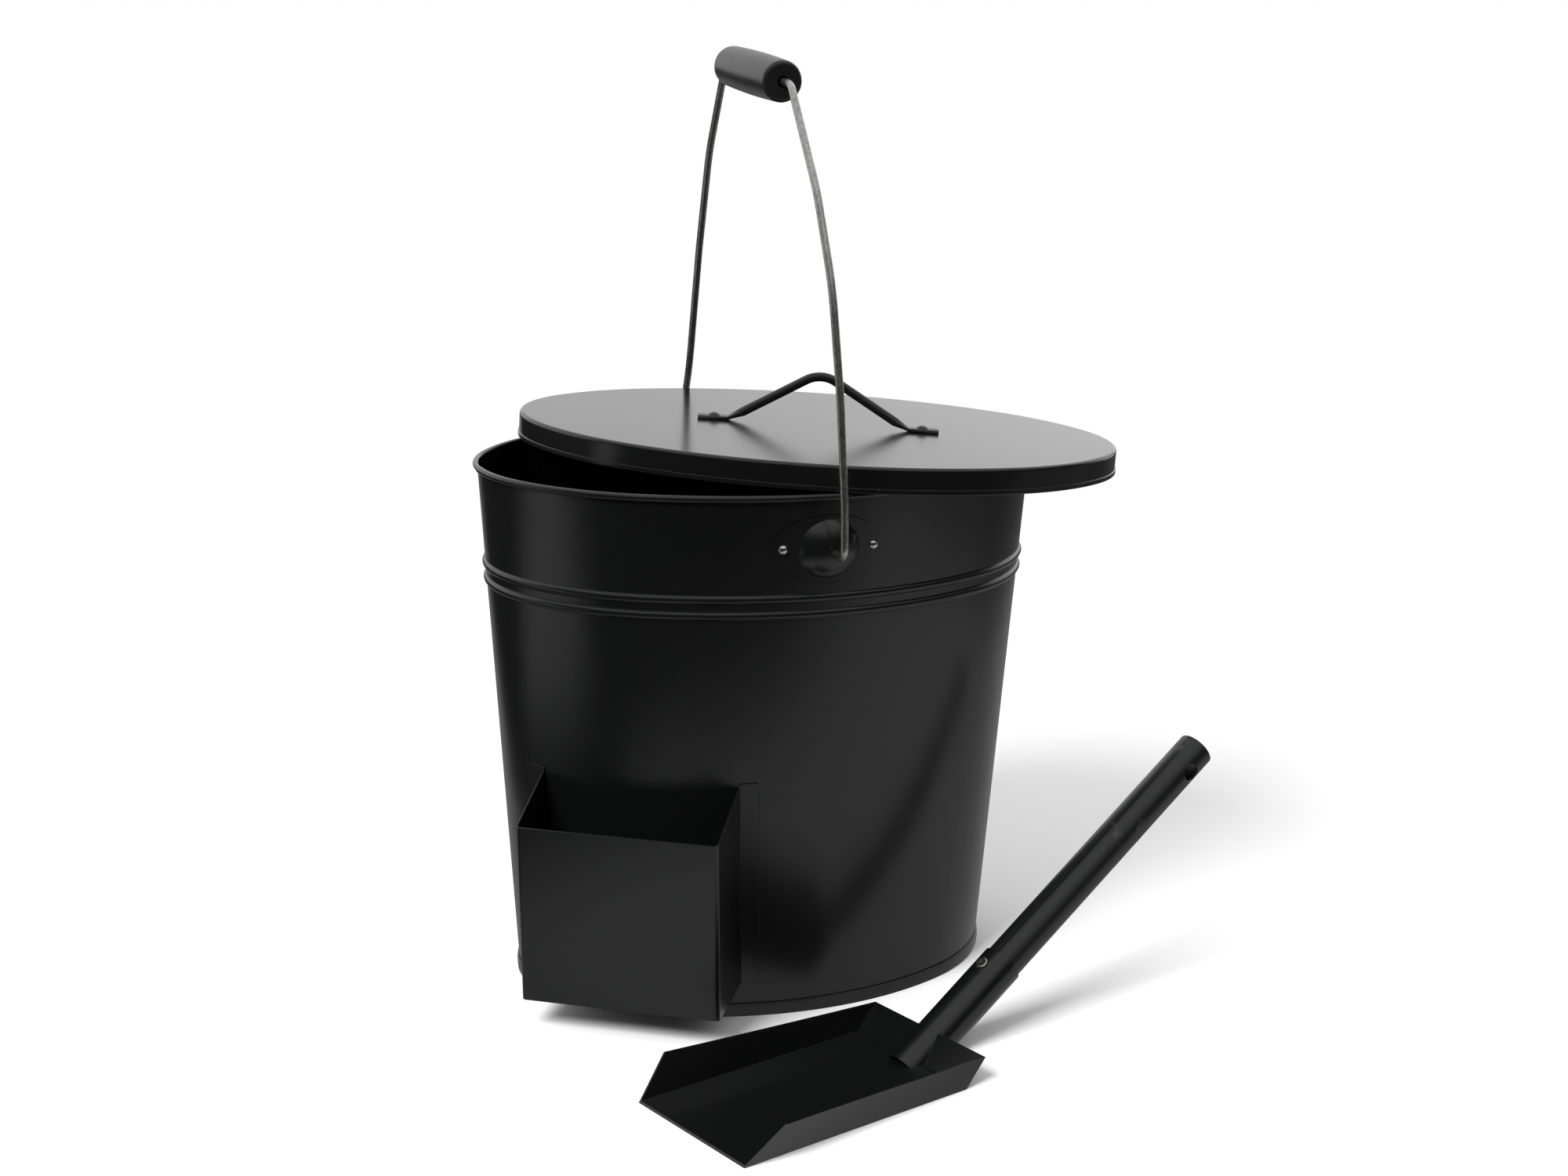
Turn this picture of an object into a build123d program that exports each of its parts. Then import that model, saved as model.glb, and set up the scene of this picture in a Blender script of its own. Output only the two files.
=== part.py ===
"""Oval ash bucket with its lid ajar, bail upright and shovel on the floor in front, in millimetres."""

import os
from math import atan, cos, degrees, radians, sin, sqrt

from build123d import *

os.makedirs("parts", exist_ok=True)

# bucket
bucket_height = 358.0
foot_half_length = 166.0
foot_half_width = 115.5
wall_taper = 25.2
end_arc = 30.0
side_arc = 62.0
sheet = 0.8
near_curl_radius = 2.3
far_curl_radius = 1.9
rim_wire_radius = 1.0
bead_drops = (78.8, 68.2)
bead_half_width = 3.0
bead_rise = 2.0
seam_height = 9.0
seam_flare = 0.7
floor_lift = 6.0

# ears and bail
ear_half_length = 38.0
ear_half_width = 21.0
ear_sheet = 1.2
ear_drop = 35.3
rivet_spacing = 61.0
rivet_head_radius = 3.15
rivet_head_rise = 2.0
rivet_shank_radius = 1.6
dome_radius = 19.5
dome_rise = 9.0
pivot_below_ear = 2.4
wire_radius = 2.5
running_gap = 0.08
bail_lean = -0.7
near_leg = [(-165.5, 0), (-164.4, 36), (-155.2, 100), (-139.5, 166), (-111.0, 222)]
far_leg = [(167.0, 0), (166.2, 44), (152.5, 74), (128.0, 162), (104.0, 232)]
leg_bends = [8.0, 60.0, 200.0, 150.0, 120.0]
shoulder_reach = 14.0
shoulder_bend = 12.0
wire_tip = 3.0
grip_near = (-48.5, 285.6)
grip_far = (53.9, 292.0)
grip_radius = 14.2
grip_end_radius = 13.3
grip_edge = 3.0
grip_mouth_radius = 3.8
grip_mouth_depth = 9.0

# lid
lid_half_length = 203.0
lid_half_width = 146.0
lid_skirt = 17.0
lid_bend = 2.5
lid_shift = (42.8, -0.8)
lid_rise = 16.8
lid_lean = 2.64
lid_rock = 0.5
lid_turn = -20.9
hem_height = 3.0
hem_fold = 0.7
handle_tube_radius = 3.1
handle_reach = 60.0
handle_rise = 36.5
handle_crown_radius = 20.0
handle_start_height = 4.6
handle_foot_length = 20.0
handle_foot_width = 9.6
handle_foot_thickness = 2.6
handle_rivet_reach = 71.0
handle_rivet_radius = 4.2

# pocket
pocket_place = (-131.9, -123.5)
pocket_heading = -33.0
pocket_lean = 4.15
pocket_width = 133.2
pocket_depth = 54.0
pocket_low = 21.0
pocket_front_top = 142.5
pocket_back_top = 159.0
pocket_sheet = 1.0
pocket_corner = 3.0
flange_width = 11.0
flange_rise = 3.0
pocket_seat = 0.02

# shovel
shovel_place = (-129.35, -265.2)
shovel_heading = 18.76
blade_length = 174.3
blade_half_width = 53.0
blade_sheet = 1.2
side_set_back = 24.75
side_spread = 8.3
side_height = 23.9
back_lean = 15.7
back_height = 17.6
handle_slope = 32.9
socket_set_back = 5.7
socket_length = 86.6
tube_radius = 12.5
tube_wall = 1.5
tube_end = 296.7
tube_start = 26.0
hang_hole_radius = 6.0
hang_hole_inset = 20.0
shovel_rivet_inset = 13.0
blind_rivet_radius = 2.0
blind_head_radius = 4.0
blind_head_rise = 1.3

# places that follow from the sizes above
ear_height = bucket_height - ear_drop
pivot_height = ear_height - pivot_below_ear
bead_centres = [bucket_height - drop for drop in bead_drops]
socket_foot = blade_length + socket_set_back
pocket_reach = pocket_back_top + 2 * flange_width


def oval_arcs(half_length, half_width):
    """Tangent arcs that make an oval: (centre x, centre y, radius, start angle, sweep)."""
    first, second = radians(end_arc), radians(side_arc)
    middle = radians((end_arc + side_arc) / 2)
    spread = (half_length * cos(middle)) ** 2 + (half_width * sin(middle)) ** 2
    mid_radius = (half_length * half_width) ** 2 / spread**1.5
    length_left = half_length - mid_radius * (cos(first) - cos(second))
    width_left = half_width - mid_radius * (sin(second) - sin(first))
    share = (1 - cos(first)) * (1 - sin(second)) - cos(second) * sin(first)
    end_radius = (length_left * (1 - sin(second)) - cos(second) * width_left) / share
    side_radius = ((1 - cos(first)) * width_left - sin(first) * length_left) / share
    end_x = half_length - end_radius
    mid_x = end_x + (end_radius - mid_radius) * cos(first)
    mid_y = (end_radius - mid_radius) * sin(first)
    side_y = half_width - side_radius
    turn = side_arc - end_arc
    return [
        (end_x, 0, end_radius, 0, end_arc),
        (mid_x, mid_y, mid_radius, end_arc, turn),
        (0, side_y, side_radius, side_arc, 180 - 2 * side_arc),
        (-mid_x, mid_y, mid_radius, 180 - side_arc, turn),
        (-end_x, 0, end_radius, 180 - end_arc, end_arc),
        (-end_x, 0, end_radius, 180, end_arc),
        (-mid_x, -mid_y, mid_radius, 180 + end_arc, turn),
        (0, -side_y, side_radius, 180 + side_arc, 180 - 2 * side_arc),
        (mid_x, -mid_y, mid_radius, 360 - side_arc, turn),
        (end_x, 0, end_radius, 360 - end_arc, end_arc),
    ]


WALL_ARCS = oval_arcs(foot_half_length, foot_half_width)
FAR_ARCS = WALL_ARCS[:5]
NEAR_ARCS = WALL_ARCS[5:]
LID_ARCS = oval_arcs(lid_half_length, lid_half_width)
EAR_ARCS = oval_arcs(ear_half_length, ear_half_width)


def oval_plate(arcs, out, height, thickness):
    """Flat plate whose outline is an oval moved outward, from a height upward."""
    with BuildPart() as plate:
        with BuildSketch(Plane.XY.offset(height)):
            with BuildLine():
                for x, y, radius, start, sweep_angle in arcs:
                    CenterArc((x, y), radius + out, start, sweep_angle)
            make_face()
        extrude(amount=thickness)
    return plate.part


def turned(arcs, section):
    """Solid made by carrying a section, drawn as (distance out, height), round an oval's arcs."""
    with BuildPart() as solid:
        for x, y, radius, start, sweep_angle in arcs:
            outward = (cos(radians(start)), sin(radians(start)), 0)
            across = (sin(radians(start)), -cos(radians(start)), 0)
            place = Plane((x, y, 0), x_dir=outward, z_dir=across)
            face = place.location * (Pos(radius, 0) * section)
            revolve(face, axis=Axis((x, y, 0), (0, 0, 1)), revolution_arc=sweep_angle)
    return solid.part


def taper_out(height):
    """How far the wall's outer face stands outside its foot line at a height."""
    return wall_taper * height / bucket_height


def skin(low, high, inner, outer):
    """Sheet that follows the wall between two distances outside its outer face."""
    return Polygon(
        (taper_out(low) + inner, low),
        (taper_out(low) + outer, low),
        (taper_out(high) + outer, high),
        (taper_out(high) + inner, high),
        align=None,
    )


def wall_section():
    """Section of the wall's sheet with its two pressed beads."""
    low, high = seam_flare, bucket_height - near_curl_radius
    with BuildSketch() as section:
        with BuildLine():
            for out in (0, -sheet):
                start = (taper_out(low) + out, low)
                for centre in bead_centres:
                    foot = (taper_out(centre - bead_half_width) + out, centre - bead_half_width)
                    crown = (taper_out(centre) + bead_rise + out, centre)
                    top = (taper_out(centre + bead_half_width) + out, centre + bead_half_width)
                    Line(start, foot)
                    ThreePointArc(foot, crown, top)
                    start = top
                Line(start, (taper_out(high) + out, high))
            Line((taper_out(low), low), (taper_out(low) - sheet, low))
            Line((taper_out(high), high), (taper_out(high) - sheet, high))
        make_face()
    return section.sketch


CURL_OUT = wall_taper + near_curl_radius / 3
CURL_UP = bucket_height - near_curl_radius


# the wall, and the rim rolled round its wire, a little fuller on the near half
near_curl = Pos(CURL_OUT, CURL_UP) * Circle(near_curl_radius)
far_curl = Pos(CURL_OUT, CURL_UP) * Circle(far_curl_radius)
wire_round = Pos(CURL_OUT, CURL_UP) * Circle(rim_wire_radius)
with BuildPart() as bucket_wall:
    add(turned(WALL_ARCS, wall_section()))
    add(turned(NEAR_ARCS, near_curl))
    add(turned(FAR_ARCS, far_curl))
    add(turned(WALL_ARCS, wire_round), mode=Mode.SUBTRACT)

with BuildPart() as rim_wire:
    add(turned(WALL_ARCS, wire_round))

# the bottom pan, folded round the wall's lower edge
seam_section = Polygon(
    (-2 * sheet, 0),
    (sheet + seam_flare, 0),
    (taper_out(seam_height * 0.6) + sheet + seam_flare, seam_height * 0.6),
    (taper_out(seam_height) + sheet, seam_height),
    (taper_out(seam_height), seam_height),
    (taper_out(seam_flare), seam_flare),
    (taper_out(seam_flare) - sheet, seam_flare),
    (taper_out(seam_height) - sheet, seam_height),
    (taper_out(seam_height) - 2 * sheet, seam_height),
    align=None,
)
with BuildPart() as bucket_bottom:
    add(turned(WALL_ARCS, seam_section))
    add(oval_plate(WALL_ARCS, -1.5 * sheet, floor_lift - sheet, sheet))


def ear_parts(side):
    """Ear plate and its rivets on the long side towards side (-1 front, 1 rear)."""
    arcs = NEAR_ARCS if side < 0 else FAR_ARCS
    face = foot_half_width + taper_out(ear_height)
    reach = face + 30
    low, high = ear_height - 1.2 * ear_half_width, ear_height + 1.2 * ear_half_width
    ball = (dome_radius**2 + dome_rise**2) / (2 * dome_rise)
    ball_place = Pos(0, side * (face + ear_sheet + dome_rise - ball), ear_height)
    upright = Pos(0, 0, ear_height) * Rot(-90 * side, 0, 0)
    inside_wall = Pos(0, 0, ear_height) * Box(4 * ear_half_length, 2 * reach, 4 * ear_half_width)
    wall_core = inside_wall - turned(arcs, skin(low - 30, high + 30, 0, 60))
    outline = upright * oval_plate(EAR_ARCS, 0, 0, reach)
    on_wall = turned(arcs, skin(low, high, 0, ear_sheet))
    with BuildPart() as plate:
        add(on_wall)
        add(outline, mode=Mode.INTERSECT)
        add(ball_place * Sphere(ball, mode=Mode.PRIVATE))
        add(ball_place * Sphere(ball - ear_sheet, mode=Mode.PRIVATE), mode=Mode.SUBTRACT)
        add(wall_core, mode=Mode.SUBTRACT)
        with Locations(Pos(0, side * reach / 2, pivot_height) * Rot(90, 0, 0)):
            Cylinder(wire_radius + running_gap, reach, mode=Mode.SUBTRACT)
        for across in (-rivet_spacing / 2, rivet_spacing / 2):
            with Locations(Pos(across, side * reach / 2, ear_height) * Rot(90, 0, 0)):
                Cylinder(rivet_shank_radius, reach, mode=Mode.SUBTRACT)
    x, y, radius = arcs[2][:3]
    seat = abs(y + side * sqrt((radius + taper_out(ear_height)) ** 2 - (rivet_spacing / 2) ** 2))
    tilt = degrees(atan(rivet_spacing / 2 / (radius + taper_out(ear_height))))
    head_ball = (rivet_head_radius**2 + rivet_head_rise**2) / (2 * rivet_head_rise)
    rivets = []
    for across in (-1, 1):
        spot = across * rivet_spacing / 2
        turn = Rot(-90 * side, 0, 0) * Rot(0, across * tilt, 0)
        with BuildPart() as rivet:
            with Locations(Pos(spot, side * (seat + ear_sheet / 2), ear_height) * Rot(90, 0, 0)):
                Cylinder(rivet_shank_radius, ear_sheet + 2 * sheet + 1.2)
            base = Pos(spot, side * (seat + ear_sheet + 0.3), ear_height) * turn
            cap = Pos(0, 0, rivet_head_rise - head_ball) * Sphere(head_ball, mode=Mode.PRIVATE)
            block = Pos(0, 0, 5) * Box(20, 20, 10, mode=Mode.PRIVATE)
            add(base * (cap & block))
            tail = Pos(spot, side * (seat - sheet - 0.75), ear_height) * turn
            add(tail * Cylinder(rivet_head_radius - 0.6, 1.0, mode=Mode.PRIVATE))
        rivets.append(rivet)
    return plate, *rivets


front_ear, front_ear_rivet_left, front_ear_rivet_right = ear_parts(-1)
rear_ear, rear_ear_rivet_left, rear_ear_rivet_right = ear_parts(1)
with BuildPart() as rivet_drill:
    for across in (-rivet_spacing / 2, rivet_spacing / 2):
        with Locations(Pos(across, 0, ear_height) * Rot(90, 0, 0)):
            Cylinder(rivet_shank_radius, 4 * foot_half_width)
bucket_wall.part = bucket_wall.part - rivet_drill.part

# the bail, drawn in its own leaning plane with the hinge line through its origin
bail_frame = Location((0, 0, pivot_height)) * Location((0, 0, 0), (0, bail_lean, 0))
bail_plane = Plane(bail_frame * Location(Plane((0, 0, 0), x_dir=(0, 1, 0), z_dir=(1, 0, 0))))
hook_tip = foot_half_width + taper_out(pivot_height) + wire_tip
grip_run = (Vector(*grip_far) - Vector(*grip_near)).normalized()
near_shoulder = Vector(*grip_near) - grip_run * shoulder_reach
far_shoulder = Vector(*grip_far) + grip_run * shoulder_reach

with BuildPart() as bail_wire:
    with BuildLine(bail_plane) as bail_line:
        corners = [(-hook_tip, 0), *near_leg, (near_shoulder.X, near_shoulder.Y)]
        corners += [(far_shoulder.X, far_shoulder.Y), *reversed(far_leg), (hook_tip, 0)]
        bends = [*leg_bends, shoulder_bend, shoulder_bend, *reversed(leg_bends)]
        FilletPolyline(*corners, radius=bends)
    with BuildSketch(Plane(bail_line.line @ 0, z_dir=bail_line.line % 0)):
        Circle(wire_radius)
    sweep(path=bail_line.line)

grip_length = (Vector(*grip_far) - Vector(*grip_near)).length
grip_origin = bail_plane.from_local_coords(Vector(*grip_near))
grip_dir = bail_plane.from_local_coords(Vector(*grip_far)) - grip_origin
with BuildPart() as bail_grip:
    with BuildSketch(Plane.XZ) as grip_profile:
        with BuildLine():
            Polyline((grip_end_radius, grip_length), (0, grip_length), (0, 0), (grip_end_radius, 0))
            ThreePointArc(
                (grip_end_radius, 0), (grip_radius, grip_length / 2), (grip_end_radius, grip_length)
            )
        make_face()
        rounded = [v for v in grip_profile.vertices() if v.X > 1]
        fillet(rounded, grip_edge)
    revolve(axis=Axis.Z)
    Cylinder(wire_radius + running_gap, 3 * grip_length, mode=Mode.SUBTRACT)
    for end in (0, grip_length):
        with Locations((0, 0, end)):
            Cylinder(grip_mouth_radius, 2 * grip_mouth_depth, mode=Mode.SUBTRACT)
bail_grip.part = Location(Plane(grip_origin, z_dir=grip_dir)) * bail_grip.part

# the lid, drawn flat and then laid ajar on the rim
lid_frame = (
    Location((*lid_shift, bucket_height + lid_rise))
    * Location((0, 0, 0), (0, lid_lean, 0))
    * Location((0, 0, 0), (lid_rock, 0, 0))
    * Location((0, 0, 0), (0, 0, lid_turn))
)
with BuildPart() as lid_pan:
    with BuildSketch() as lid_section:
        with BuildLine():
            Line((-12, -sheet), (-12, 0))
            Line((-12, 0), (-lid_bend, 0))
            RadiusArc((-lid_bend, 0), (0, -lid_bend), lid_bend)
            Polyline(
                (0, -lid_bend),
                (0, -lid_skirt + hem_height + 0.3),
                (hem_fold, -lid_skirt + hem_height),
                (hem_fold, -lid_skirt + 0.4),
                (hem_fold - 0.4, -lid_skirt),
                (-sheet, -lid_skirt),
                (-sheet, -lid_bend),
            )
            RadiusArc((-sheet, -lid_bend), (-lid_bend, -sheet), -(lid_bend - sheet))
            Line((-lid_bend, -sheet), (-12, -sheet))
        make_face()
    add(turned(LID_ARCS, lid_section.sketch))
    add(oval_plate(LID_ARCS, -11, -sheet, sheet))
    for across in (-handle_rivet_reach, handle_rivet_reach):
        with Locations((across, 0, 0)):
            Cylinder(rivet_shank_radius, 10, mode=Mode.SUBTRACT)

with BuildPart() as lid_handle:
    foot_middle = handle_foot_thickness / 2
    with BuildLine(Plane.XZ) as handle_line:
        FilletPolyline(
            (8 - handle_reach, foot_middle + handle_start_height),
            (0, handle_rise),
            (handle_reach - 8, foot_middle + handle_start_height),
            radius=handle_crown_radius,
        )
    with BuildSketch(Plane(handle_line.line @ 0, z_dir=handle_line.line % 0)):
        Circle(handle_tube_radius)
    sweep(path=handle_line.line)
    for side in (-1, 1):
        tube_end_at = 0 if side < 0 else 1
        tangent = handle_line.line % tube_end_at
        foot_start = Plane((side * (handle_reach + 2), 0, foot_middle), x_dir=(0, 1, 0), z_dir=(1, 0, 0))
        with BuildSketch(Plane(handle_line.line @ tube_end_at, x_dir=(0, 1, 0), z_dir=tangent)) as mouth:
            Circle(handle_tube_radius)
        with BuildSketch(foot_start) as foot:
            RectangleRounded(handle_foot_width, handle_foot_thickness, handle_foot_thickness * 0.4)
        loft([mouth.sketch.face(), foot.sketch.face()])
        extrude(foot.sketch, amount=side * handle_foot_length)
    for across in (-handle_rivet_reach, handle_rivet_reach):
        with Locations((across, 0, 0)):
            Cylinder(rivet_shank_radius, 20, mode=Mode.SUBTRACT)


def lid_rivet(across):
    """Rivet through a foot of the lid's handle, headed above and below."""
    ball = (handle_rivet_radius**2 + rivet_head_rise**2) / (2 * rivet_head_rise)
    with BuildPart() as rivet:
        crown = Pos(0, 0, rivet_head_rise - ball) * Sphere(ball, mode=Mode.PRIVATE)
        block = Pos(0, 0, 10) * Box(30, 30, 20, mode=Mode.PRIVATE)
        add(Pos(across, 0, handle_foot_thickness) * (crown & block))
        with Locations((across, 0, handle_foot_thickness / 2 - sheet / 2)):
            Cylinder(rivet_shank_radius, handle_foot_thickness + sheet)
        with Locations((across, 0, -sheet - 0.5)):
            Cylinder(rivet_shank_radius + 1.2, 1.0)
    return rivet


lid_rivet_left = lid_rivet(-handle_rivet_reach)
lid_rivet_right = lid_rivet(handle_rivet_reach)
for piece in (lid_pan, lid_handle, lid_rivet_left, lid_rivet_right):
    piece.part = lid_frame * piece.part

# the pocket: its local X runs along the front, Y into the wall, Z up the leaning front
pocket_frame = Location((*pocket_place, 0), (0, 0, pocket_heading)) * Location((0, 0, 0), (pocket_lean, 0, 0))
pocket_hull = turned(NEAR_ARCS, skin(1, pocket_reach, -60, pocket_seat))


def pocket_block(inset, low, rise):
    """Solid of the pocket's side outline across its width, in the pocket's own frame."""
    with BuildPart() as block:
        with BuildSketch(Plane.YZ):
            Polygon(
                (inset, low),
                (inset, pocket_front_top + rise),
                (pocket_depth + 30, pocket_back_top + rise + 9),
                (pocket_depth + 30, low),
                align=None,
            )
        extrude(amount=pocket_width / 2 - inset, both=True)
        upright = block.edges().filter_by(Axis.Z).group_by(Axis.Y)[0]
        fillet(upright, pocket_corner - inset)
    return block.part


flange_skin = turned(NEAR_ARCS, skin(1, pocket_reach, pocket_seat, pocket_seat + pocket_sheet))
with BuildPart() as flange_blocks:
    for side in (-1, 1):
        middle = side * (pocket_width / 2 + flange_width / 2 - pocket_sheet / 2)
        tall = pocket_back_top + flange_rise - pocket_low
        with Locations((middle, pocket_depth + 10, pocket_low + tall / 2)):
            Box(flange_width + pocket_sheet, 60, tall)

with BuildPart() as shovel_pocket:
    add(pocket_frame * pocket_block(0, pocket_low, 0))
    add(pocket_frame * pocket_block(pocket_sheet, pocket_low - 20, 20), mode=Mode.SUBTRACT)
    add(pocket_hull, mode=Mode.SUBTRACT)
    add(flange_skin & (pocket_frame * flange_blocks.part))

with BuildPart() as pocket_bottom:
    with BuildSketch(Plane.XY.offset(pocket_low + pocket_sheet)):
        with Locations((0, (pocket_depth + 30) / 2 + pocket_sheet)):
            Rectangle(pocket_width - 2 * pocket_sheet, pocket_depth + 30)
    extrude(amount=pocket_sheet)
    front_corners = pocket_bottom.edges().filter_by(Axis.Z).group_by(Axis.Y)[0]
    fillet(front_corners, pocket_corner - pocket_sheet)
pocket_bottom.part = pocket_frame * pocket_bottom.part - pocket_hull

# the shovel: local X runs back from the blade's front edge, Y to its left, Z up
shovel_frame = Location((*shovel_place, 0), (0, 0, shovel_heading))
axis_dir = Vector(cos(radians(handle_slope)), 0, sin(radians(handle_slope)))
socket_plane = Plane((socket_foot, 0, 0), x_dir=(0, 1, 0), z_dir=axis_dir)
side_top = blade_half_width + side_spread
socket_radius = tube_radius + running_gap + blade_sheet


def scoop_hull(inset):
    """Solid within the blade's outer faces, moved inward, from floor to brim."""
    slope = side_spread / side_height
    front = inset * side_set_back / side_height
    back = blade_length - inset + inset * back_lean / back_height
    brim_back = blade_length + back_lean * side_height / back_height - inset
    floor_edge = blade_half_width - inset
    with BuildPart() as hull:
        with BuildSketch(Plane.XY.offset(inset)):
            Polygon(
                (front, -floor_edge - inset * slope),
                (front, floor_edge + inset * slope),
                (back, floor_edge),
                (back, -floor_edge),
                align=None,
            )
        with BuildSketch(Plane.XY.offset(side_height)):
            Polygon(
                (side_set_back, inset - side_top),
                (side_set_back, side_top - inset),
                (brim_back, floor_edge),
                (brim_back, -floor_edge),
                align=None,
            )
        loft(ruled=True)
    return hull.part


with BuildPart() as socket_core:
    with BuildSketch(socket_plane.offset(-2 * tube_radius)):
        Circle(tube_radius + running_gap)
    extrude(amount=socket_length + 4 * tube_radius)
above_floor = Pos(socket_foot, 0, blade_sheet + 2 * socket_length) * Box(
    4 * socket_length, 4 * tube_radius, 4 * socket_length
)
socket_bore = socket_core.part & above_floor
with BuildPart() as shovel_blade:
    add(scoop_hull(0))
    add(scoop_hull(blade_sheet), mode=Mode.SUBTRACT)
    with BuildSketch(Plane.XZ):
        Polygon(
            (-5, blade_sheet),
            (blade_sheet, blade_sheet),
            (side_set_back, side_height),
            (side_set_back, side_height + 5),
            (-5, side_height + 5),
            align=None,
        )
    extrude(amount=200, both=True, mode=Mode.SUBTRACT)
    with BuildSketch(Plane.XZ):
        Polygon(
            (side_set_back, side_height),
            (blade_length + back_lean, back_height),
            (2 * blade_length, back_height),
            (2 * blade_length, 3 * side_height),
            (side_set_back, 3 * side_height),
            align=None,
        )
    extrude(amount=200, both=True, mode=Mode.SUBTRACT)
    with BuildSketch(socket_plane.offset(-12)):
        Circle(socket_radius)
    extrude(amount=socket_length + 12)
    with BuildSketch(Plane.XY):
        Rectangle(4 * blade_length, 4 * blade_length)
    extrude(amount=-blade_length, mode=Mode.SUBTRACT)
    add(socket_bore, mode=Mode.SUBTRACT)

with BuildPart() as shovel_handle:
    with BuildSketch(socket_plane.offset(tube_start)):
        Circle(tube_radius)
        Circle(tube_radius - tube_wall, mode=Mode.SUBTRACT)
    extrude(amount=tube_end - tube_start)
    hole_spot = Vector(socket_foot, 0, 0) + axis_dir * (tube_end - hang_hole_inset)
    with BuildSketch(Plane(hole_spot, x_dir=(1, 0, 0), z_dir=(0, 1, 0))):
        Circle(hang_hole_radius)
    extrude(amount=3 * tube_radius, both=True, mode=Mode.SUBTRACT)

rivet_spot = Vector(socket_foot, 0, 0) + axis_dir * (socket_length - shovel_rivet_inset)
rivet_up = Vector(-axis_dir.Z, 0, axis_dir.X)
rivet_plane = Plane(rivet_spot, x_dir=(0, 1, 0), z_dir=rivet_up)
with BuildPart() as rivet_bore:
    with BuildSketch(rivet_plane):
        Circle(blind_rivet_radius)
    extrude(amount=3 * tube_radius)
shovel_blade.part = shovel_blade.part - rivet_bore.part
shovel_handle.part = shovel_handle.part - rivet_bore.part
with BuildPart() as shovel_rivet:
    with BuildSketch(rivet_plane.offset(socket_radius)):
        Circle(blind_head_radius)
    extrude(amount=blind_head_rise)
    fillet(shovel_rivet.edges().sort_by(Axis(rivet_spot, rivet_up))[-1], blind_head_rise * 0.6)
    with BuildSketch(rivet_plane.offset(tube_radius - tube_wall - 2)):
        Circle(blind_rivet_radius)
    extrude(amount=socket_radius - tube_radius + tube_wall + 2.2)
    with BuildSketch(rivet_plane.offset(socket_radius - 1)):
        Circle(blind_rivet_radius / 2)
    extrude(amount=10, mode=Mode.SUBTRACT)

for piece in (shovel_blade, shovel_handle, shovel_rivet):
    piece.part = shovel_frame * piece.part

bucket_wall.part.label = "bucket_wall"
rim_wire.part.label = "rim_wire"
bucket_bottom.part.label = "bucket_bottom"
front_ear.part.label = "front_ear"
rear_ear.part.label = "rear_ear"
front_ear_rivet_left.part.label = "front_ear_rivet_left"
front_ear_rivet_right.part.label = "front_ear_rivet_right"
rear_ear_rivet_left.part.label = "rear_ear_rivet_left"
rear_ear_rivet_right.part.label = "rear_ear_rivet_right"
bail_wire.part.label = "bail_wire"
bail_grip.part.label = "bail_grip"
lid_pan.part.label = "lid_pan"
lid_handle.part.label = "lid_handle"
lid_rivet_left.part.label = "lid_rivet_left"
lid_rivet_right.part.label = "lid_rivet_right"
shovel_pocket.part.label = "shovel_pocket"
pocket_bottom.part.label = "pocket_bottom"
shovel_blade.part.label = "shovel_blade"
shovel_handle.part.label = "shovel_handle"
shovel_rivet.part.label = "shovel_rivet"

export_step(bucket_wall.part, "parts/bucket_wall.step")
export_step(rim_wire.part, "parts/rim_wire.step")
export_step(bucket_bottom.part, "parts/bucket_bottom.step")
export_step(front_ear.part, "parts/front_ear.step")
export_step(rear_ear.part, "parts/rear_ear.step")
export_step(front_ear_rivet_left.part, "parts/front_ear_rivet_left.step")
export_step(front_ear_rivet_right.part, "parts/front_ear_rivet_right.step")
export_step(rear_ear_rivet_left.part, "parts/rear_ear_rivet_left.step")
export_step(rear_ear_rivet_right.part, "parts/rear_ear_rivet_right.step")
export_step(bail_wire.part, "parts/bail_wire.step")
export_step(bail_grip.part, "parts/bail_grip.step")
export_step(lid_pan.part, "parts/lid_pan.step")
export_step(lid_handle.part, "parts/lid_handle.step")
export_step(lid_rivet_left.part, "parts/lid_rivet_left.step")
export_step(lid_rivet_right.part, "parts/lid_rivet_right.step")
export_step(shovel_pocket.part, "parts/shovel_pocket.step")
export_step(pocket_bottom.part, "parts/pocket_bottom.step")
export_step(shovel_blade.part, "parts/shovel_blade.step")
export_step(shovel_handle.part, "parts/shovel_handle.step")
export_step(shovel_rivet.part, "parts/shovel_rivet.step")
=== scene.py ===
import math

import bpy
from mathutils import Matrix, Vector

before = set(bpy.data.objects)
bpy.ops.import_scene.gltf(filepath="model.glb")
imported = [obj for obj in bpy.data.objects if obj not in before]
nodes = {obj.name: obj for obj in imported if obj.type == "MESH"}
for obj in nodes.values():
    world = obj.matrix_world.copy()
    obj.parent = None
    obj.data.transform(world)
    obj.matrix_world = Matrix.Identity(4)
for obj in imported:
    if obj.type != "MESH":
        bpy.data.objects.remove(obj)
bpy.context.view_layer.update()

print("frame loaded:", len(nodes), "nodes")


# ---- node helpers

def addNode(tree, kind, **sockets):
    node = tree.nodes.new(kind)
    for name, value in sockets.items():
        if hasattr(node, name):
            setattr(node, name, value)
        else:
            node.inputs[name.replace("_", " ")].default_value = value
    return node


def join(tree, fromSocket, toSocket):
    tree.links.new(fromSocket, toSocket)


# ---- effects that several finishes share, each a node group with named sockets

coatEffect = {
    "name": "coatFinish", "peelScale": 260.0, "grainScale": 1400.0, "cloudScale": 9.0,
    "grainShare": 0.35, "bumpDistance": 0.0002,
    "speckScale": 70.0, "speckOuter": 0.05, "speckInner": 0.035, "speckRarity": 0.985,
    "dustColour": (0.28, 0.27, 0.25, 1),
}


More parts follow.
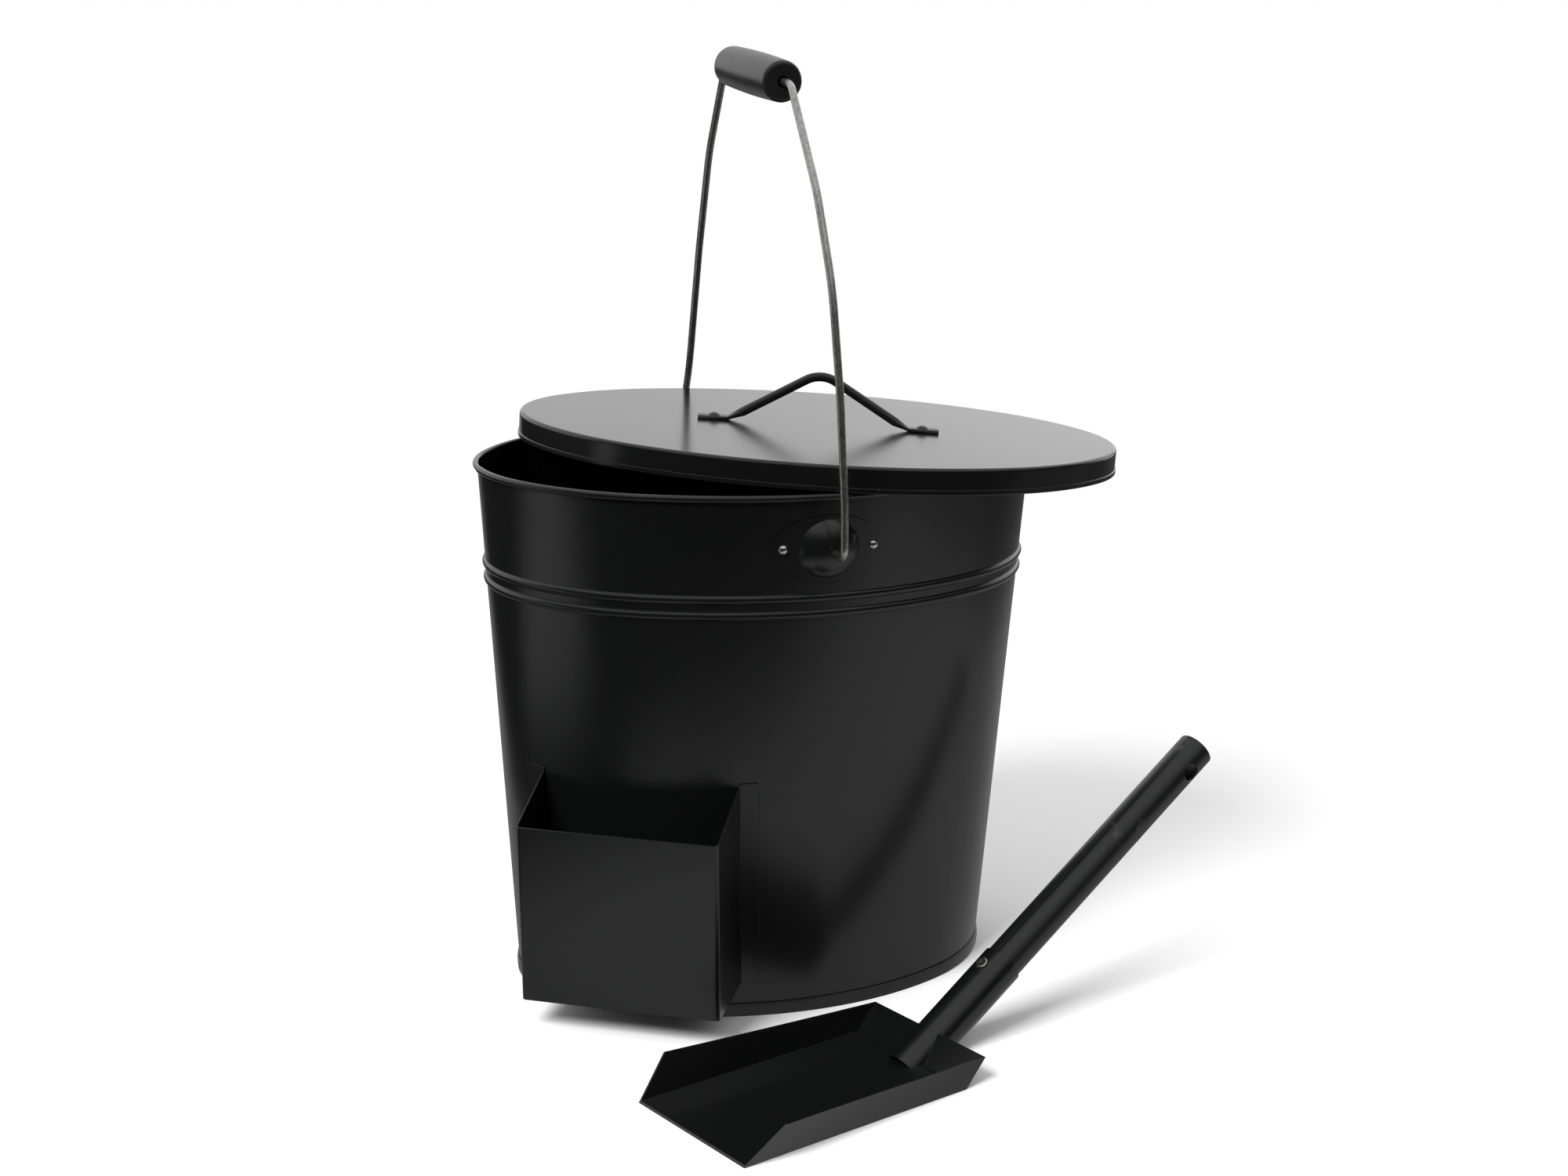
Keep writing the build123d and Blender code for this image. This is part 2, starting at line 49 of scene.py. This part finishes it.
def makeCoatFinish():
    # powder coat: fine orange peel, a slow cloud in the gloss, and sparse dust specks
    group = bpy.data.node_groups.new(coatEffect["name"], "ShaderNodeTree")
    for name, start in (("peel", 0.02), ("roughness", 0.3), ("cloud", 0.05), ("dust", 0.3)):
        socket = group.interface.new_socket(name=name, in_out="INPUT", socket_type="NodeSocketFloat")
        socket.default_value = start
    group.interface.new_socket(name="base", in_out="INPUT", socket_type="NodeSocketColor")
    group.interface.new_socket(name="colour", in_out="OUTPUT", socket_type="NodeSocketColor")
    group.interface.new_socket(name="rough", in_out="OUTPUT", socket_type="NodeSocketFloat")
    group.interface.new_socket(name="normal", in_out="OUTPUT", socket_type="NodeSocketVector")
    inside = addNode(group, "NodeGroupInput")
    outside = addNode(group, "NodeGroupOutput")
    coords = addNode(group, "ShaderNodeTexCoord")
    peel = addNode(group, "ShaderNodeTexNoise", Scale=coatEffect["peelScale"], Detail=3.0, Roughness=0.55)
    grain = addNode(group, "ShaderNodeTexNoise", Scale=coatEffect["grainScale"], Detail=2.0)
    cloud = addNode(group, "ShaderNodeTexNoise", Scale=coatEffect["cloudScale"], Detail=4.0)
    for texture in (peel, grain, cloud):
        join(group, coords.outputs["Object"], texture.inputs["Vector"])
    both = addNode(group, "ShaderNodeMath", operation="MULTIPLY_ADD")
    both.inputs[1].default_value = coatEffect["grainShare"]
    join(group, grain.outputs["Fac"], both.inputs[0])
    join(group, peel.outputs["Fac"], both.inputs[2])
    bump = addNode(group, "ShaderNodeBump", Distance=coatEffect["bumpDistance"])
    join(group, inside.outputs["peel"], bump.inputs["Strength"])
    join(group, both.outputs[0], bump.inputs["Height"])
    join(group, bump.outputs["Normal"], outside.inputs["normal"])
    centred = addNode(group, "ShaderNodeMath", operation="SUBTRACT")
    centred.inputs[1].default_value = 0.5
    join(group, cloud.outputs["Fac"], centred.inputs[0])
    swing = addNode(group, "ShaderNodeMath", operation="MULTIPLY_ADD")
    join(group, centred.outputs[0], swing.inputs[0])
    join(group, inside.outputs["cloud"], swing.inputs[1])
    join(group, inside.outputs["roughness"], swing.inputs[2])
    join(group, swing.outputs[0], outside.inputs["rough"])
    specks = addNode(group, "ShaderNodeTexVoronoi", Scale=coatEffect["speckScale"])
    join(group, coords.outputs["Object"], specks.inputs["Vector"])
    small = addNode(group, "ShaderNodeMapRange")
    small.inputs["From Min"].default_value = coatEffect["speckOuter"]
    small.inputs["From Max"].default_value = coatEffect["speckInner"]
    join(group, specks.outputs["Distance"], small.inputs["Value"])
    few = addNode(group, "ShaderNodeSeparateColor")
    join(group, specks.outputs["Color"], few.inputs["Color"])
    rare = addNode(group, "ShaderNodeMath", operation="GREATER_THAN")
    rare.inputs[1].default_value = coatEffect["speckRarity"]
    join(group, few.outputs[0], rare.inputs[0])
    speckMask = addNode(group, "ShaderNodeMath", operation="MULTIPLY")
    join(group, small.outputs["Result"], speckMask.inputs[0])
    join(group, rare.outputs[0], speckMask.inputs[1])
    amount = addNode(group, "ShaderNodeMath", operation="MULTIPLY")
    join(group, speckMask.outputs[0], amount.inputs[0])
    join(group, inside.outputs["dust"], amount.inputs[1])
    mix = addNode(group, "ShaderNodeMix", data_type="RGBA")
    mix.inputs[7].default_value = coatEffect["dustColour"]
    join(group, amount.outputs[0], mix.inputs[0])
    join(group, inside.outputs["base"], mix.inputs[6])
    join(group, mix.outputs[2], outside.inputs["colour"])
    return group


scuffEffect = {
    "name": "scuffs", "scale": 34.0, "low": 0.60, "high": 0.66,
    "amount": 0.8, "stretch": (1.0, 1.0, 1.0),
    "colour": (0.035, 0.036, 0.035, 1), "duller": 0.25,
}


def makeScuffs():
    # short rubbed marks; the stretch input scales the pattern along each axis of the piece
    group = bpy.data.node_groups.new(scuffEffect["name"], "ShaderNodeTree")
    group.interface.new_socket(name="stretch", in_out="INPUT", socket_type="NodeSocketVector")
    group.interface.new_socket(name="amount", in_out="INPUT", socket_type="NodeSocketFloat")
    group.interface.new_socket(name="mask", in_out="OUTPUT", socket_type="NodeSocketFloat")
    inside = addNode(group, "NodeGroupInput")
    outside = addNode(group, "NodeGroupOutput")
    coords = addNode(group, "ShaderNodeTexCoord")
    scaled = addNode(group, "ShaderNodeVectorMath", operation="MULTIPLY")
    join(group, coords.outputs["Object"], scaled.inputs[0])
    join(group, inside.outputs["stretch"], scaled.inputs[1])
    noise = addNode(group, "ShaderNodeTexNoise", Scale=scuffEffect["scale"], Detail=6.0, Roughness=0.65)
    join(group, scaled.outputs[0], noise.inputs["Vector"])
    cut = addNode(group, "ShaderNodeMapRange")
    cut.inputs["From Min"].default_value = scuffEffect["low"]
    cut.inputs["From Max"].default_value = scuffEffect["high"]
    join(group, noise.outputs["Fac"], cut.inputs["Value"])
    scale = addNode(group, "ShaderNodeMath", operation="MULTIPLY")
    join(group, cut.outputs["Result"], scale.inputs[0])
    join(group, inside.outputs["amount"], scale.inputs[1])
    join(group, scale.outputs[0], outside.inputs["mask"])
    return group


coatFinish = makeCoatFinish()
scuffs = makeScuffs()
print("shared effects made")


# ---- finishes

coatIor = 1.5
coats = {
    "blackCoat": {
        "base": (0.0042, 0.0045, 0.0044, 1), "roughness": 0.27, "cloud": 0.06, "peel": 0.10, "dust": 0.25,
    },
    "lidCoat": {
        "base": (0.0045, 0.0048, 0.0046, 1), "roughness": 0.19, "cloud": 0.05, "peel": 0.06, "dust": 0.25,
    },
    "shovelCoat": {
        "base": (0.0040, 0.0043, 0.0042, 1), "roughness": 0.24, "cloud": 0.06, "peel": 0.12, "dust": 0.9,
    },
    "handleCoat": {
        "base": (0.0060, 0.0062, 0.0062, 1), "roughness": 0.36, "cloud": 0.06, "peel": 0.12, "dust": 0.2,
    },
    "tubeCoat": {
        "base": (0.0060, 0.0063, 0.0063, 1), "roughness": 0.34, "cloud": 0.10, "peel": 0.25, "dust": 0.5,
    },
}


def coatMaterial(name, values, worn=False):
    material = bpy.data.materials.new(name)
    material.use_nodes = True
    tree = material.node_tree
    shader = tree.nodes["Principled BSDF"]
    group = tree.nodes.new("ShaderNodeGroup")
    group.node_tree = coatFinish
    for key in ("peel", "roughness", "cloud", "dust", "base"):
        group.inputs[key].default_value = values[key]
    join(tree, group.outputs["normal"], shader.inputs["Normal"])
    colour, rough = group.outputs["colour"], group.outputs["rough"]
    if worn:
        rub = tree.nodes.new("ShaderNodeGroup")
        rub.node_tree = scuffs
        rub.inputs["amount"].default_value = scuffEffect["amount"]
        rub.inputs["stretch"].default_value = scuffEffect["stretch"]
        lighter = addNode(tree, "ShaderNodeMix", data_type="RGBA")
        lighter.inputs[7].default_value = scuffEffect["colour"]
        join(tree, rub.outputs["mask"], lighter.inputs[0])
        join(tree, colour, lighter.inputs[6])
        colour = lighter.outputs[2]
        duller = addNode(tree, "ShaderNodeMath", operation="MULTIPLY_ADD")
        duller.inputs[1].default_value = scuffEffect["duller"]
        join(tree, rub.outputs["mask"], duller.inputs[0])
        join(tree, rough, duller.inputs[2])
        rough = duller.outputs[0]
    join(tree, colour, shader.inputs["Base Color"])
    join(tree, rough, shader.inputs["Roughness"])
    shader.inputs["IOR"].default_value = coatIor
    return material


wireFinish = {
    "base": (0.50, 0.50, 0.485, 1), "dark": (0.30, 0.30, 0.29, 1), "roughness": 0.36,
    "smoother": 0.08, "rougher": 0.12, "blotchScale": 420.0, "blotchLow": 0.35, "blotchHigh": 0.6,
    "bump": 0.15, "bumpDistance": 0.0002,
}


def wireMaterial():
    # drawn wire under a thin zinc coat, with fine blotches
    material = bpy.data.materials.new("galvanisedWire")
    material.use_nodes = True
    tree = material.node_tree
    shader = tree.nodes["Principled BSDF"]
    coords = addNode(tree, "ShaderNodeTexCoord")
    blotch = addNode(tree, "ShaderNodeTexNoise", Scale=wireFinish["blotchScale"], Detail=5.0, Roughness=0.6)
    join(tree, coords.outputs["Object"], blotch.inputs["Vector"])
    mix = addNode(tree, "ShaderNodeMix", data_type="RGBA")
    mix.inputs[6].default_value = wireFinish["dark"]
    mix.inputs[7].default_value = wireFinish["base"]
    spread = addNode(tree, "ShaderNodeMapRange")
    spread.inputs["From Min"].default_value = wireFinish["blotchLow"]
    spread.inputs["From Max"].default_value = wireFinish["blotchHigh"]
    join(tree, blotch.outputs["Fac"], spread.inputs["Value"])
    join(tree, spread.outputs["Result"], mix.inputs[0])
    join(tree, mix.outputs[2], shader.inputs["Base Color"])
    rough = addNode(tree, "ShaderNodeMapRange")
    rough.inputs["To Min"].default_value = wireFinish["roughness"] - wireFinish["smoother"]
    rough.inputs["To Max"].default_value = wireFinish["roughness"] + wireFinish["rougher"]
    join(tree, blotch.outputs["Fac"], rough.inputs["Value"])
    join(tree, rough.outputs["Result"], shader.inputs["Roughness"])
    bump = addNode(tree, "ShaderNodeBump", Strength=wireFinish["bump"], Distance=wireFinish["bumpDistance"])
    join(tree, blotch.outputs["Fac"], bump.inputs["Height"])
    join(tree, bump.outputs["Normal"], shader.inputs["Normal"])
    shader.inputs["Metallic"].default_value = 1.0
    return material


rivetFinish = {
    "base": (0.72, 0.72, 0.70, 1), "dark": (0.42, 0.42, 0.40, 1), "roughness": 0.22,
    "pitScale": 900.0, "bump": 0.2, "bumpDistance": 0.0002,
}


def rivetMaterial():
    material = bpy.data.materials.new("brightRivet")
    material.use_nodes = True
    tree = material.node_tree
    shader = tree.nodes["Principled BSDF"]
    coords = addNode(tree, "ShaderNodeTexCoord")
    pits = addNode(tree, "ShaderNodeTexNoise", Scale=rivetFinish["pitScale"], Detail=3.0)
    join(tree, coords.outputs["Object"], pits.inputs["Vector"])
    mix = addNode(tree, "ShaderNodeMix", data_type="RGBA")
    mix.inputs[6].default_value = rivetFinish["dark"]
    mix.inputs[7].default_value = rivetFinish["base"]
    join(tree, pits.outputs["Fac"], mix.inputs[0])
    join(tree, mix.outputs[2], shader.inputs["Base Color"])
    bump = addNode(tree, "ShaderNodeBump", Strength=rivetFinish["bump"], Distance=rivetFinish["bumpDistance"])
    join(tree, pits.outputs["Fac"], bump.inputs["Height"])
    join(tree, bump.outputs["Normal"], shader.inputs["Normal"])
    shader.inputs["Metallic"].default_value = 1.0
    shader.inputs["Roughness"].default_value = rivetFinish["roughness"]
    return material


gripFinish = {
    "base": (0.0055, 0.0055, 0.0055, 1), "light": (0.012, 0.012, 0.012, 1), "roughness": 0.3,
    "smoother": 0.05, "rougher": 0.15, "pitScale": 900.0, "ringScale": 380.0, "ringWander": 1.5,
    "ringShare": 0.2, "bump": 0.35, "bumpDistance": 0.0002,
}


def gripMaterial():
    # turned and lacquered: faint rings from the tool and a fine pitted skin
    material = bpy.data.materials.new("turnedGrip")
    material.use_nodes = True
    tree = material.node_tree
    shader = tree.nodes["Principled BSDF"]
    coords = addNode(tree, "ShaderNodeTexCoord")
    pits = addNode(tree, "ShaderNodeTexNoise", Scale=gripFinish["pitScale"], Detail=4.0, Roughness=0.7)
    join(tree, coords.outputs["Object"], pits.inputs["Vector"])
    rings = addNode(
        tree, "ShaderNodeTexWave", Scale=gripFinish["ringScale"], Distortion=gripFinish["ringWander"]
    )
    rings.bands_direction = "Y"
    join(tree, coords.outputs["Object"], rings.inputs["Vector"])
    mixed = addNode(tree, "ShaderNodeMath", operation="MULTIPLY_ADD")
    mixed.inputs[1].default_value = gripFinish["ringShare"]
    join(tree, rings.outputs["Fac"], mixed.inputs[0])
    join(tree, pits.outputs["Fac"], mixed.inputs[2])
    bump = addNode(tree, "ShaderNodeBump", Strength=gripFinish["bump"], Distance=gripFinish["bumpDistance"])
    join(tree, mixed.outputs[0], bump.inputs["Height"])
    join(tree, bump.outputs["Normal"], shader.inputs["Normal"])
    mix = addNode(tree, "ShaderNodeMix", data_type="RGBA")
    mix.inputs[6].default_value = gripFinish["base"]
    mix.inputs[7].default_value = gripFinish["light"]
    join(tree, pits.outputs["Fac"], mix.inputs[0])
    join(tree, mix.outputs[2], shader.inputs["Base Color"])
    rough = addNode(tree, "ShaderNodeMapRange")
    rough.inputs["To Min"].default_value = gripFinish["roughness"] - gripFinish["smoother"]
    rough.inputs["To Max"].default_value = gripFinish["roughness"] + gripFinish["rougher"]
    join(tree, pits.outputs["Fac"], rough.inputs["Value"])
    join(tree, rough.outputs["Result"], shader.inputs["Roughness"])
    return material


finishes = {name: coatMaterial(name, values, worn=name == "tubeCoat") for name, values in coats.items()}
finishes["wire"] = wireMaterial()
finishes["rivet"] = rivetMaterial()
finishes["grip"] = gripMaterial()

nodeFinish = {
    "bucket_wall": "blackCoat", "rim_wire": "wire", "bucket_bottom": "blackCoat",
    "front_ear": "blackCoat", "rear_ear": "blackCoat",
    "front_ear_rivet_left": "rivet", "front_ear_rivet_right": "rivet",
    "rear_ear_rivet_left": "rivet", "rear_ear_rivet_right": "rivet",
    "bail_wire": "wire", "bail_grip": "grip",
    "lid_pan": "lidCoat", "lid_handle": "handleCoat",
    "lid_rivet_left": "handleCoat", "lid_rivet_right": "handleCoat",
    "shovel_pocket": "blackCoat", "pocket_bottom": "blackCoat",
    "shovel_blade": "shovelCoat", "shovel_handle": "tubeCoat", "shovel_rivet": "rivet",
}
shading = {"smoothAngle": 32.0, "weld": 0.000005, "bevel": 0.0003, "bevelSegments": 2}
for name, finish in nodeFinish.items():
    piece = nodes[name]
    piece.data.materials.clear()
    piece.data.materials.append(finishes[finish])
    bpy.ops.object.select_all(action="DESELECT")
    piece.select_set(True)
    bpy.context.view_layer.objects.active = piece
    weld = piece.modifiers.new("weld", "WELD")
    weld.merge_threshold = shading["weld"]
    for polygon in piece.data.polygons:
        polygon.use_smooth = True
    bevel = piece.modifiers.new("edges", "BEVEL")
    bevel.width = shading["bevel"]
    bevel.segments = shading["bevelSegments"]
    bevel.limit_method = "ANGLE"
    bevel.angle_limit = math.radians(shading["smoothAngle"])
    bevel.use_clamp_overlap = True
    bevel.harden_normals = False
    weighted = piece.modifiers.new("normals", "WEIGHTED_NORMAL")
    weighted.keep_sharp = True
print("finishes on the nodes")


# ---- studio

studio = {
    "floorHalf": 12.0,
    "floorColour": (0.93, 0.93, 0.93, 1), "floorRoughness": 0.9,
    "dark": 0.02,
    "paper": 0.62,  # brightness of the sheet where the coat reflects it
    "edgeSlope": 0.6, "edgeAt": 0.615, "edgeSoft": 0.13,  # front edge of the sheet
    "fadeFrom": 0.75, "fadeTo": 1.7,
}

# soft edges in metres on the floor, each (from, to, value before, value after)
sheetEdges = {
    "left": (-0.44, -0.27, 0, 1),
    "back": (-0.32, 0.02, 1, 0.56),
    "right": (0.70, 1.15, 1, 0.25),
}
cardEdges = {
    "side": (-0.74, -0.56, 1, 0),
    "near": (-0.42, -0.18, 0, 1),
    "far": (0.10, 0.40, 1, 0),
}

# brightness of the room against a direction's own component, each as above
room = {
    "back": (-0.10, 0.40, 0, 1.06),
    "sideways": (0.25, 0.60, 0.97, 1.30),
    "above": (0.30, 0.80, 0, 0.9),
}


def mapped(tree, source, low, high, toLow, toHigh):
    node = addNode(tree, "ShaderNodeMapRange", interpolation_type="SMOOTHSTEP")
    for key, value in (("From Min", low), ("From Max", high), ("To Min", toLow), ("To Max", toHigh)):
        node.inputs[key].default_value = value
    join(tree, source, node.inputs["Value"])
    return node.outputs["Result"]


def combine(tree, operation, first, second):
    node = addNode(tree, "ShaderNodeMath", operation=operation)
    for place, value in enumerate((first, second)):
        if isinstance(value, (int, float)):
            node.inputs[place].default_value = value
        else:
            join(tree, value, node.inputs[place])
    return node.outputs[0]


def paperMask(tree, position):
    # a white sheet on the floor that ends in front of the bucket, and a low white card at its left
    parts = addNode(tree, "ShaderNodeSeparateXYZ")
    join(tree, position, parts.inputs[0])
    x, y = parts.outputs[0], parts.outputs[1]
    past = combine(tree, "ADD", combine(tree, "MULTIPLY", x, studio["edgeSlope"]), y)
    start, end = -studio["edgeAt"] - studio["edgeSoft"], -studio["edgeAt"] + studio["edgeSoft"]
    front = mapped(tree, past, start, end, 0, 1)
    left = mapped(tree, x, *sheetEdges["left"])
    back = mapped(tree, y, *sheetEdges["back"])
    right = mapped(tree, x, *sheetEdges["right"])
    nearLeft = combine(tree, "MULTIPLY", front, left)
    farRight = combine(tree, "MULTIPLY", back, right)
    sheet = combine(tree, "MULTIPLY", nearLeft, farRight)
    cardSide = mapped(tree, x, *cardEdges["side"])
    cardNear = mapped(tree, y, *cardEdges["near"])
    cardFar = mapped(tree, y, *cardEdges["far"])
    card = combine(tree, "MULTIPLY", combine(tree, "MULTIPLY", cardSide, cardNear), cardFar)
    return combine(tree, "MAXIMUM", sheet, card)


def makeFloor():
    bpy.ops.object.select_all(action="DESELECT")
    bpy.ops.mesh.primitive_plane_add(size=2 * studio["floorHalf"], location=(0, 0, 0))
    floor = bpy.context.object
    floor.name = "studioFloor"
    material = bpy.data.materials.new("studioWhite")
    material.use_nodes = True
    tree = material.node_tree
    shader = tree.nodes["Principled BSDF"]
    shader.inputs["Base Color"].default_value = studio["floorColour"]
    shader.inputs["Roughness"].default_value = studio["floorRoughness"]
    shader.inputs["Specular IOR Level"].default_value = 0.0
    coords = addNode(tree, "ShaderNodeTexCoord")
    glow = addNode(tree, "ShaderNodeEmission")
    strength = combine(tree, "MULTIPLY_ADD", paperMask(tree, coords.outputs["Object"]), studio["paper"])
    strength.node.inputs[2].default_value = studio["dark"]
    join(tree, strength, glow.inputs["Strength"])
    # far from the bucket the floor is as white as the wall behind, so that no horizon shows
    distance = addNode(tree, "ShaderNodeVectorMath", operation="LENGTH")
    join(tree, coords.outputs["Object"], distance.inputs[0])
    faded = mapped(tree, distance.outputs["Value"], studio["fadeFrom"], studio["fadeTo"], 0, 1)
    white = addNode(tree, "ShaderNodeEmission")
    white.inputs["Strength"].default_value = 1.0
    seen = addNode(tree, "ShaderNodeMixShader")
    join(tree, faded, seen.inputs[0])
    join(tree, shader.outputs[0], seen.inputs[1])
    join(tree, white.outputs[0], seen.inputs[2])
    rays = addNode(tree, "ShaderNodeLightPath")
    either = addNode(tree, "ShaderNodeMixShader")
    join(tree, rays.outputs["Is Camera Ray"], either.inputs[0])
    join(tree, glow.outputs[0], either.inputs[1])
    join(tree, seen.outputs[0], either.inputs[2])
    join(tree, either.outputs[0], tree.nodes["Material Output"].inputs["Surface"])
    material.cycles.emission_sampling = "NONE"
    floor.data.materials.append(material)


def makeWorld():
    # bright behind, soft light above, dark in front
    world = bpy.data.worlds.new("studioWorld")
    bpy.context.scene.world = world
    world.use_nodes = True
    tree = world.node_tree
    coords = addNode(tree, "ShaderNodeTexCoord")
    parts = addNode(tree, "ShaderNodeSeparateXYZ")
    join(tree, coords.outputs["Generated"], parts.inputs[0])
    back = mapped(tree, parts.outputs[1], *room["back"])
    sideways = mapped(tree, parts.outputs[0], *room["sideways"])
    back = combine(tree, "MULTIPLY", back, sideways)
    above = mapped(tree, parts.outputs[2], *room["above"])
    seen = combine(tree, "MAXIMUM", combine(tree, "MAXIMUM", back, above), studio["dark"])
    rays = addNode(tree, "ShaderNodeLightPath")
    # the camera sees plain white, everything else sees the room
    hidden = combine(tree, "SUBTRACT", 1, rays.outputs["Is Camera Ray"])
    total = combine(tree, "ADD", combine(tree, "MULTIPLY", seen, hidden), rays.outputs["Is Camera Ray"])
    join(tree, total, tree.nodes["Background"].inputs["Strength"])
    tree.nodes["Background"].inputs["Color"].default_value = (1, 1, 1, 1)


lamps = {
    "keyLight": {
        "place": (-2.2, -1.5, 2.6), "aim": (0, 0, 0.1), "size": (1.5, 1.5), "power": 150, "mirrored": False,
    },
}


def addLamps():
    for name, lamp in lamps.items():
        bpy.ops.object.light_add(type="AREA", location=lamp["place"])
        light = bpy.context.object
        light.name = name
        light.data.shape = "RECTANGLE"
        light.data.size, light.data.size_y = lamp["size"]
        light.data.energy = lamp["power"]
        light.visible_glossy = lamp["mirrored"]
        towards = Vector(lamp["aim"]) - Vector(lamp["place"])
        light.rotation_euler = towards.to_track_quat("-Z", "Y").to_euler()


makeFloor()
makeWorld()
addLamps()
print("studio lit")

# ---- camera, from the photograph's own perspective

camera = {
    "place": (-0.53163, -1.52395, 0.66249),
    "right": (0.94147462, -0.33667686, 0.01655999),
    "up": (0.06564948, 0.23132397, 0.97065924),
    "forward": (0.33062923, 0.91276389, -0.23988831),
    "lens": 55.578, "sensor": 36.0, "clipEnd": 60,
}
bpy.ops.object.camera_add(location=camera["place"])
photoCamera = bpy.context.object
photoCamera.name = "photoCamera"
turn = Matrix((camera["right"], camera["up"], [-c for c in camera["forward"]])).transposed()
photoCamera.rotation_euler = turn.to_euler()
photoCamera.data.lens = camera["lens"]
photoCamera.data.sensor_width = camera["sensor"]
photoCamera.data.clip_end = camera["clipEnd"]
bpy.context.scene.camera = photoCamera
bpy.context.scene.view_settings.view_transform = "Standard"
